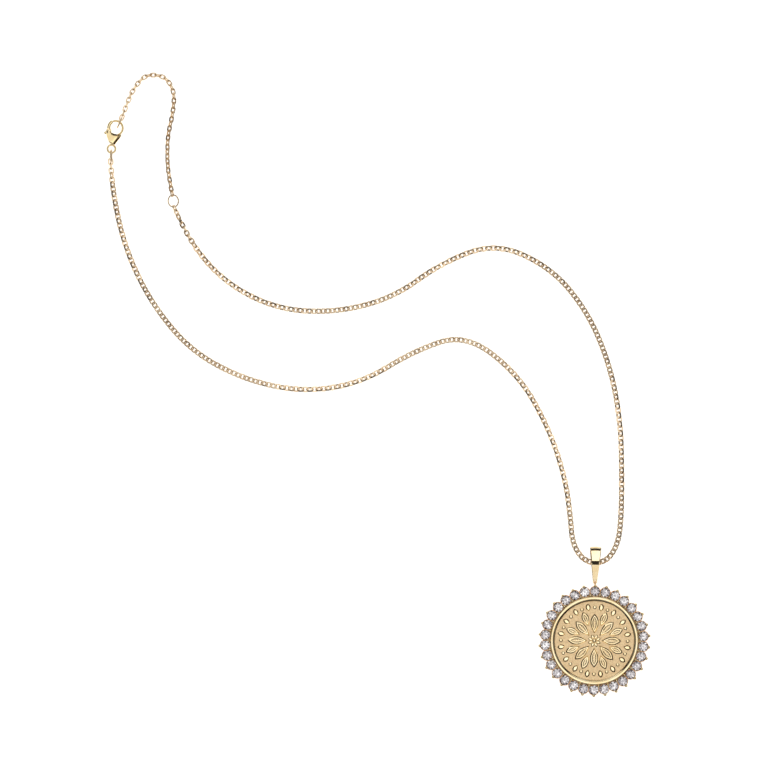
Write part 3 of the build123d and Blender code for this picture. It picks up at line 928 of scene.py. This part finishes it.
def clawBall(bm, place, radius):
    size = setting
    matrix = at(place, 0, size["ballHeight"]) @ sized(1, 1, size["ballFlatness"])
    bmesh.ops.create_uvsphere(bm, u_segments=size["ballSides"], v_segments=size["ballRows"],
                              radius=radius, matrix=matrix)


def outerClaw():
    size = setting
    wire = size["outerWire"]
    # along the claw: distance out, height, lean, and size of the wire
    rows = [(13.15, 0.19, 45, 0.9), (13.45, 0.42, 45, 1.0), (13.82, 0.85, 38, 0.95),
            (14.08, 1.25, 22, 0.88), (14.17, 1.62, 6, 0.86), (14.17, 2.05, 0, 0.92)]
    bm = bmesh.new()
    rings = [at(out, 0, up) @ turned(lean, "Y") @ sized(wire * share, wire * share, 1)
             for out, up, lean, share in rows]
    loft(bm, size["clawSides"], rings)
    clawBall(bm, size["outerPlace"], size["outerBall"])
    return shapeOf(bm)


def innerClaw():
    size = setting
    place = size["innerPlace"]
    wire, strut = size["innerWire"], size["strutWire"]
    # along the claw: height, and size of the wire
    rows = [(0.25, 1.0), (1.3, 0.95), (1.75, 0.85), (2.1, 0.95)]
    bm = bmesh.new()
    rings = [at(place, 0, up) @ sized(wire * share, wire * share, 1) for up, share in rows]
    loft(bm, size["clawSides"], rings)
    ends = size["rimOuter"] - size["strutRoot"], place
    rings = [at(out, 0, size["strutHeight"]) @ turned(90, "Y") @ sized(strut, strut, 1) for out in ends]
    loft(bm, size["strutSides"], rings)
    clawBall(bm, place, size["innerBall"])
    return shapeOf(bm)


def gallerySector(count):
    # one stone's share of the gallery: a plate with the stone's light hole through it
    size = setting
    half = math.pi / count
    middle = nodeBox("stone_01")
    place = (middle[0] + middle[1]).xy.length / 2
    steps = size["sectorSteps"]
    bm = bmesh.new()
    hole = bmesh.ops.create_circle(bm, segments=4 * steps, radius=size["cupHole"], matrix=at(place, 0))
    inner = loopEdges(hole["verts"])
    corners = [(size["galleryOuter"], -half), (size["galleryOuter"], half),
               (size["galleryInner"], half), (size["galleryInner"], -half)]
    verts = []
    for (radius, angle), (nextRadius, nextAngle) in zip(corners, corners[1:] + corners[:1]):
        for step in range(steps):
            share = step / steps
            r = radius + (nextRadius - radius) * share
            a = angle + (nextAngle - angle) * share
            verts.append(bm.verts.new((r * math.cos(a), r * math.sin(a), 0)))
    outer = [bm.edges.new(pair) for pair in zip(verts, verts[1:] + verts[:1])]
    bmesh.ops.bridge_loops(bm, edges=inner + outer)
    return shapeOf(bm)


def haloSetting():
    size = setting
    count = sum(node.startswith("stone_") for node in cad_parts)
    step = 360 / count
    middle = nodeBox("stone_01")
    place = (middle[0] + middle[1]).xy.length / 2
    gallery = bmesh.new()
    sector = gallerySector(count)
    for i in range(count):
        stamp(gallery, sector, turned(90 + i * step))
    bmesh.ops.remove_doubles(gallery, verts=gallery.verts, dist=0.002)
    bmesh.ops.recalc_face_normals(gallery, faces=gallery.faces)
    made = bmesh.ops.extrude_face_region(gallery, geom=gallery.faces[:])
    raised = [item for item in made["geom"] if isinstance(item, bmesh.types.BMVert)]
    bmesh.ops.translate(gallery, vec=(0, 0, size["galleryHeight"]), verts=raised)
    cup = cupShape()
    for i in range(count):
        stamp(gallery, cup, turned(90 + i * step) @ at(place, 0))
    # the loop is built with the cups, so it takes their darker gold: painted shade for the shadow at the
    # tongue's end
    y, z = size["loopPlace"]
    start = at(0, y, z) @ turned(90, "Y") @ at(size["loopRadius"], 0) @ turned(90, "X")
    wire = bmesh.ops.create_circle(gallery, segments=size["loopSides"], radius=size["loopWire"],
                                   matrix=start)
    bmesh.ops.spin(gallery, geom=wire["verts"] + loopEdges(wire["verts"]), cent=(0, y, z),
                   axis=(1, 0, 0), angle=2 * math.pi, steps=size["loopSteps"], use_merge=True)
    finishPiece("stone_cups", gallery, "cups", ["halo_setting"], sharp=35)

    claws = bmesh.new()
    outer = outerClaw()
    inner = innerClaw()
    for i in range(count):
        stamp(claws, outer, turned(90 + i * step))
        stamp(claws, inner, turned(90 + (i + 0.5) * step))
    finishPiece("stone_claws", claws, "setting", ["halo_setting"], sharp=35)


bezel()
haloSetting()
print("setting built")


# Lobster clasp, in its own plan: across, and along its axis from the eyelet's centre

clasp = {
    "place": (-125.2, 124.0),
    "heading": 8.2,
    "middle": 1.0,
    "mouth": (0.2, 5.42),
    "hookRadius": 1.85,
    "hookHalf": (0.29, 0.40),  # half of its width in plan and of its height
    "hookArc": (-62.0, 124.0),
    "gateHalf": (0.44, 0.33),
    "gateArc": (125.5, 213.0),
    "gateRadius": (1.85, 1.69),
    "pivot": (-1.22, 4.5),
    "bossInner": 0.28,
    "bossOuter": 0.5,
    "bossBevel": 0.06,
    "bossSteps": 32,
    "tab": (-2.216, 3.802),
    "tabHalf": 0.38,
    "tabCap": 0.25,
    "slotHalf": 0.41,
    "wallRise": 0.1,  # the pod's straight side above the slot
    "coreOver": 0.03,  # how far the core reaches into the pod's halves
    "sweep": 1.2,  # room round the pivot for the lever
    "eyeletRadius": 1.025,
    "eyeletWire": 0.25,
    "eyeletSteps": 40,
    "arcSteps": 26,
    "sides": 14,
}
podLeft = [(-1.45, 5.2), (-1.95, 5.0), (-2.08, 4.2), (-1.75, 3.1), (-1.05, 2.0), (-0.66, 1.22)]
podRight = [(0.66, 1.22), (1.1, 2.1), (1.7, 3.1), (2.0, 3.9)]
podMouth = [(1.9, 3.98), (0.9, 3.86), (0.0, 3.92), (-0.8, 4.2), (-1.25, 4.7), (-1.45, 5.2)]
podMiddle = (-0.1, 3.2)
# the pod's crown: how far each step draws in and rises, and how far it leans across and along
podCrown = [
    (0.86, 0.215, -0.15, -0.20), (0.84, 0.15, -0.10, -0.10), (0.76, 0.03, 0, 0), (0.6, 0.01, 0, 0)]
# the neck between pod and eyelet: distance along, and half its width and height
claspNeck = [(0.95, 0.22, 0.17), (1.12, 0.3, 0.2), (1.5, 0.5, 0.4)]


def claspPlace():
    x, y = clasp["place"]
    return at(x, y, clasp["middle"]) @ turned(-clasp["heading"])


def planCurve(points):
    # every eighth point of a smooth curve, without its last, where the next curve begins
    line = smoothLine([Vector((u, v, 0)) * millimetre for u, v in points])
    return line[:-1:8]


def planSolid(bm, points, low, high):
    # an outline filled and raised; gives back its top face
    verts = [bm.verts.new((point.x, point.y, low)) for point in points]
    edges = [bm.edges.new(pair) for pair in zip(verts, verts[1:] + verts[:1])]
    base = bmesh.ops.edgeloop_fill(bm, edges=edges)["faces"]
    made = bmesh.ops.extrude_face_region(bm, geom=base)
    raised = [item for item in made["geom"] if isinstance(item, bmesh.types.BMVert)]
    bmesh.ops.translate(bm, vec=(0, 0, high - low), verts=raised)
    return [item for item in made["geom"] if isinstance(item, bmesh.types.BMFace)]


def podShell():
    bm = bmesh.new()
    outline = planCurve(podLeft) + planCurve(podRight) + planCurve(podMouth)
    top = planSolid(bm, outline, clasp["slotHalf"], clasp["slotHalf"] + clasp["wallRise"])
    middle = at(*podMiddle)
    for share, rise, across, along in podCrown:
        made = bmesh.ops.extrude_face_region(bm, geom=top)
        bmesh.ops.delete(bm, geom=top, context="FACES_ONLY")
        verts = [item for item in made["geom"] if isinstance(item, bmesh.types.BMVert)]
        top = [item for item in made["geom"] if isinstance(item, bmesh.types.BMFace)]
        place = at(across, along, rise) @ middle @ sized(share, share, 1) @ middle.inverted()
        bmesh.ops.transform(bm, matrix=place, verts=verts)
    return shapeOf(bm)


def podCore(bm):
    u, v = clasp["pivot"]
    points = [(-0.6, 1.3), (0.6, 1.3), (1.05, 2.1), (1.62, 3.1), (1.8, 3.82), (0.9, 3.8), (0.0, 3.84)]
    for degrees in range(-40, -111, -10):
        angle = math.radians(degrees)
        points.append((u + clasp["sweep"] * math.cos(angle), v + clasp["sweep"] * math.sin(angle)))
    points += [(-1.55, 3.1), (-1.0, 2.05)]
    height = clasp["slotHalf"] + clasp["coreOver"]
    planSolid(bm, [Vector(point) for point in points], -height, height)


def arcBand(bm, arc, radii, half):
    # a rounded band round the mouth from one angle and radius to another, its ends drawn in
    steps = clasp["arcSteps"]
    mouth = at(*clasp["mouth"])
    rings = []
    for i in range(steps + 1):
        share = i / steps
        angle = arc[0] + (arc[1] - arc[0]) * share
        radius = radii[0] + (radii[1] - radii[0]) * share
        end = min(share, 1 - share) * steps
        full = 1 if end >= 1 else 0.8
        rings.append(mouth @ turned(angle) @ at(radius, 0) @ turned(90, "X")
                     @ sized(half[0] * full, half[1] * full, 1))
    loft(bm, clasp["sides"], rings)


def claspClaw():
    size = clasp
    place = claspPlace()
    part = bmesh.new()
    shell = podShell()
    stamp(part, shell, Matrix.Identity(4))
    stamp(part, shell, sized(1, 1, -1))
    podCore(part)
    arcBand(part, size["hookArc"], (size["hookRadius"], size["hookRadius"]), size["hookHalf"])
    wire = size["eyeletWire"]
    outline = []
    for i in range(size["sides"]):
        angle = 2 * math.pi * i / size["sides"]
        outline.append((size["eyeletRadius"] + wire * math.cos(angle), wire * math.sin(angle)))
    eyelet = bmesh.new()
    spinOutline(eyelet, outline, size["eyeletSteps"])
    stamp(part, shapeOf(eyelet), Matrix.Identity(4))
    loft(part, size["sides"], [at(0, v) @ turned(90, "X") @ sized(across, up, 1)
                               for v, across, up in claspNeck])
    bm = bmesh.new()
    stamp(bm, shapeOf(part), place)
    finishPiece("clasp_claw", bm, "clasp", ["clasp_body"], sharp=30, flats=True)


def claspGate():
    size = clasp
    part = bmesh.new()
    arcBand(part, size["gateArc"], size["gateRadius"], size["gateHalf"])
    half = size["gateHalf"][1]
    boss = bmesh.new()
    outer, inner, bevel = size["bossOuter"], size["bossInner"], size["bossBevel"]
    outline = [(inner, -half), (outer - bevel, -half), (outer, bevel - half), (outer, half - bevel),
               (outer - bevel, half), (inner, half)]
    spinOutline(boss, outline, size["bossSteps"])
    stamp(part, shapeOf(boss), at(*size["pivot"]))
    start, end = Vector(size["pivot"]), Vector(size["tab"])
    reach = end - start
    turn = turned(math.degrees(math.atan2(reach.y, reach.x)))
    tab, cap = size["tabHalf"], size["tabCap"]
    # along the tab: distance from the pivot, and shares of its width and height
    far = reach.length
    rows = [(outer - 0.1, 0.8, 0.7), (far * 0.7, 0.8, 0.7), (far * 0.85, 1.0, 0.95), (far, 1.0, 1.0),
            (far + cap * 0.8, 0.8, 0.7), (far + cap, 0.6, 0.4)]
    loft(part, size["sides"], [at(*start) @ turn @ at(along, 0) @ turned(90, "Y")
                               @ sized(half * up, tab * across, 1) for along, across, up in rows])
    bm = bmesh.new()
    stamp(bm, shapeOf(part), claspPlace())
    finishPiece("clasp_gate", bm, "clasp", ["clasp_lever"], "lever", sharp=40)


claspClaw()
claspGate()
cadCopy("clasp_pin", 0.03, "clasp_rivet", "setting")
print("clasp made")


# Floor, light and camera

studio = {
    "floorSize": 8.0,
    "floorDrop": 0.00003,
    "floorWhite": (0.93, 0.93, 0.93, 1),
    "floorRoughness": 0.7,
    "floorGlow": 0.8,
    "worldLight": 0.03,
    "lensLength": 190.0,
    "sensor": 36.0,
    "frameWidth": 0.1966,
    "centre": (-0.05467, 0.06485),
    "roll": 0.8,
}

# place and aim in metres from the picture's middle, width, height and power
softboxes = [
    ("overhead", (0, 0.1, 1.1), (0, 0.1, 0), 1.1, 1.6, 5.3),
    ("spot", (0.11, -0.13, 1.08), (0.11, -0.13, 0), 0.42, 0.42, 0.31),
    ("key", (0, 1.13, 0.735), (0, 0, 0), 2.2, 0.43, 3.6),
    ("front", (0, -1.05, 0.98), (0, 0, 0), 1.6, 0.4, 0.7),
    ("left", (-1.05, 0, 0.98), (0, 0, 0), 1.2, 0.4, 0.6),
    ("right", (1.05, 0, 0.98), (0, 0, 0), 1.2, 0.4, 0.6),
]


def softbox(name, place, target, width, height, power):
    light = bpy.data.lights.new(name, "AREA")
    light.shape = "RECTANGLE"
    light.size = width
    light.size_y = height
    light.energy = power
    lamp = bpy.data.objects.new(name, light)
    lamp.location = place
    lamp.rotation_euler = (Vector(target) - Vector(place)).to_track_quat("-Z", "Y").to_euler()
    bpy.context.scene.collection.objects.link(lamp)


def setStudio():
    size = studio
    middle = Vector((*size["centre"], 0))
    bm = bmesh.new()
    bmesh.ops.create_grid(bm, x_segments=4, y_segments=4, size=size["floorSize"] / 2)
    mesh = bpy.data.meshes.new("floor")
    bm.to_mesh(mesh)
    bm.free()
    floor = bpy.data.objects.new("floor", mesh)
    floor.location.z = -size["floorDrop"]
    bpy.context.scene.collection.objects.link(floor)
    finish = Finish("floor_white")
    finish.feed(Base_Color=size["floorWhite"], Roughness=size["floorRoughness"],
                Emission_Color=(1, 1, 1, 1), Emission_Strength=size["floorGlow"])
    mesh.materials.append(finish.material)
    for name, place, target, width, height, power in softboxes:
        softbox(name, middle + Vector(place), middle + Vector(target), width, height, power)
    world = bpy.data.worlds.new("studio")
    world.use_nodes = True
    sky = world.node_tree.nodes["Background"]
    sky.inputs["Color"].default_value = (1, 1, 1, 1)
    sky.inputs["Strength"].default_value = size["worldLight"]
    bpy.context.scene.world = world
    camera = bpy.data.objects.new("camera", bpy.data.cameras.new("camera"))
    camera.data.lens = size["lensLength"]
    camera.data.sensor_width = size["sensor"]
    distance = size["frameWidth"] * size["lensLength"] / size["sensor"]
    camera.location = middle + Vector((0, 0, distance))
    camera.rotation_euler = (0, 0, math.radians(size["roll"]))
    bpy.context.scene.collection.objects.link(camera)
    bpy.context.scene.camera = camera
    bpy.context.scene.view_settings.view_transform = "Standard"


setStudio()
print("studio set")
